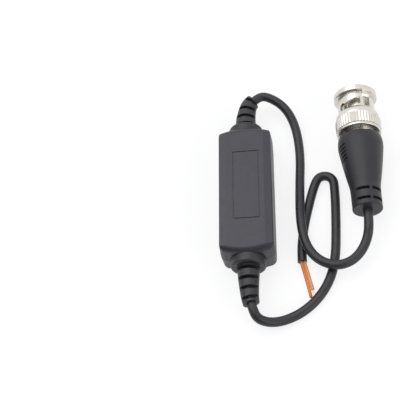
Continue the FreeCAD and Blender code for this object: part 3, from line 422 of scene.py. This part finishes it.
def ringed(name, colour):
    """Lacquered body with painted rings across it."""
    made = Nodes(name, colour, roughness=0.35)
    split = made.add("ShaderNodeSeparateXYZ")
    made.link(made.place, split.inputs[0])
    along = made.add("ShaderNodeMapRange")
    along.inputs["From Min"].default_value = -RING_REACH * MM
    along.inputs["From Max"].default_value = RING_REACH * MM
    made.link(split.outputs["X"], along.inputs["Value"])
    ramp = made.add("ShaderNodeValToRGB")
    ramp.color_ramp.interpolation = "CONSTANT"
    colours = ramp.color_ramp.elements
    colours[0].color = (*colour, 1)
    colours.remove(colours[1])
    for place, paint in RESISTOR_RINGS:
        for edge, beyond in ((place, paint), (place + RING_WIDTH, colour)):
            change = colours.new((edge + RING_REACH) / (2 * RING_REACH))
            change.color = (*beyond, 1)
    made.link(along.outputs[0], ramp.inputs[0])
    made.link(ramp.outputs[0], made.shader.inputs["Base Color"])
    made.bump(made.noise(size=0.5, detail=2), depth=0.01)
    return made.material


def make_materials():
    """The finish of each slot: its name, colour and roughness, and a moulding's grain size and depth."""
    return {
        "housing": moulded("housing_plastic", (0.029, 0.027, 0.039), 0.42, 0.16, 0.004, specular=0.56),
        "gland": moulded("gland_plastic", (0.026, 0.025, 0.031), 0.44, 0.20, 0.005, specular=0.50),
        "boot": moulded("boot_plastic", (0.031, 0.030, 0.037), 0.40, 0.20, 0.004, specular=0.38),
        "cable": jacket("cable_jacket", (0.025, 0.025, 0.029), 0.38, specular=0.46),
        "wire_orange": jacket("orange_insulation", (0.80, 0.23, 0.042), 0.32),
        "wire_pale": jacket("pale_orange_insulation", (0.85, 0.36, 0.13), 0.32),
        "tinned": metal("tinned_strand", (0.88, 0.86, 0.82), 0.28),
        "nickel": plated("nickel_plate", (0.72, 0.69, 0.64), 0.28, mark_depth=0.0010),
        "contact": plated("gold_flash", (0.90, 0.66, 0.30), 0.20, mark_depth=0.0006),
        "spring_steel": metal("spring_steel", (0.62, 0.60, 0.57), 0.28),
        "ferrule_brass": plated("ferrule_brass", (0.80, 0.66, 0.38), 0.28, mark_depth=0.0010),
        "insulator": moulded("white_insulator", (0.80, 0.80, 0.77), 0.40, 0.10, 0.002),
        "gasket": moulded("gasket_silicone", (0.52, 0.52, 0.50), 0.50, 0.10, 0.003),
        "laminate": moulded("board_laminate", (0.022, 0.16, 0.055), 0.38, 0.30, 0.004),
        "solder": metal("solder", (0.80, 0.80, 0.80), 0.22, depth=0.010),
        "ferrite": moulded("ferrite", (0.035, 0.034, 0.034), 0.62, 0.12, 0.012),
        "enamel_wire": metal("enamelled_copper", (0.60, 0.20, 0.06), 0.25),
        "ceramic": moulded("glazed_ceramic", (0.76, 0.75, 0.71), 0.22, 0.40, 0.003),
        "resistor": ringed("resistor_lacquer", (0.50, 0.36, 0.19)),
        "capacitor": moulded("boxed_film", (0.40, 0.045, 0.030), 0.30, 0.20, 0.003),
        "copper": metal("bare_copper", (0.83, 0.42, 0.25), 0.28),
    }


def dress_nodes(frame, materials):
    """Every CAD node takes the finish of its slot in the record."""
    for entry in frame["record"]["subparts"]:
        node = frame["nodes"][entry["node"]]
        node.data.materials.clear()
        node.data.materials.append(materials[entry["material_slot"]])


def flatten_spring(frame):
    """The wave washer gets a mesh of its own, a copy of the one it shared."""
    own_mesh(frame["nodes"]["spring_washer"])


# Cords

def tube_curve(name, radius, roundness, material):
    """Empty curve whose lines show as capped tubes of that radius in millimetres."""
    curve = bpy.data.curves.new(name, "CURVE")
    curve.dimensions = "3D"
    curve.bevel_depth = radius * MM
    curve.bevel_resolution = roundness
    curve.use_fill_caps = True
    curve.materials.append(material)
    return curve


def make_cord(name, points, material):
    """Smooth cord on a NURBS line through its control points, which are in millimetres."""
    curve = tube_curve(name, CABLE_RADIUS, CABLE_ROUNDNESS, material)
    curve.resolution_u = CABLE_STEPS
    spline = curve.splines.new("NURBS")
    spline.points.add(len(points) - 1)
    for point, place in zip(spline.points, points):
        point.co = (*(Vector(place) * MM), 1)
    spline.order_u = CABLE_ORDER
    spline.use_endpoint_u = True
    cord = add_object(name, curve)
    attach(cord, "balun")
    return cord


def coax_points():
    """Out of the coax gland, along the route, and straight into the boot."""
    boot_end = PLUG_FACE + PLUG_AXIS * BOOT_END
    start = [COAX_EXIT, COAX_EXIT + COAX_EXIT_DIRECTION * COAX_FIRST_RUN]
    return start + COAX_ROUTE + [boot_end + PLUG_AXIS * COAX_LAST_RUN, boot_end]


def pair_points():
    """Out of the pair gland and along the route to the cut end."""
    return [PAIR_EXIT, PAIR_EXIT + PAIR_EXIT_DIRECTION * PAIR_FIRST_RUN] + PAIR_ROUTE


def make_strands(material):
    """Thin strands in a slow twist round a middle one, in place of the stripped tip's plain rod."""
    across = STRAND_DIRECTION.cross(Vector((0, 0, 1))).normalized()
    upward = across.cross(STRAND_DIRECTION)
    curve = tube_curve("tinned_strands", STRAND_RADIUS, STRAND_ROUNDNESS, material)
    for strand in range(STRANDS_AROUND + 1):
        offset = STRAND_CIRCLE if strand < STRANDS_AROUND else 0
        spline = curve.splines.new("POLY")
        spline.points.add(STRAND_STEPS - 1)
        for step, point in enumerate(spline.points):
            along = STRAND_LENGTH * step / (STRAND_STEPS - 1)
            turn = 2 * math.pi * (strand / STRANDS_AROUND + along / STRAND_LAY)
            place = STRAND_START + STRAND_DIRECTION * along
            place += (across * math.cos(turn) + upward * math.sin(turn)) * offset
            point.co = (*(place * MM), 1)
    strands = add_object("tinned_strands", curve)
    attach(strands, "balun")
    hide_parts("bare_strand")
    return strands


def make_cords(materials):
    """Both leads as smooth cords in place of the CAD leads, and the stripped tip's strands at the pair's
    free end.
    """
    coax = make_cord("coax_cord", coax_points(), materials["cable"])
    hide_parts("coax_lead")
    pair = make_cord("pair_cord", pair_points(), materials["cable"])
    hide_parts("pair_lead")
    strands = make_strands(materials["tinned"])


def main():
    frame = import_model()
    bpy.context.scene.view_settings.view_transform = "Standard"
    make_camera()
    materials = make_materials()
    make_cords(materials)
    dress_nodes(frame, materials)
    flatten_spring(frame)
    make_floor()
    make_world()
    make_lamps()


main()
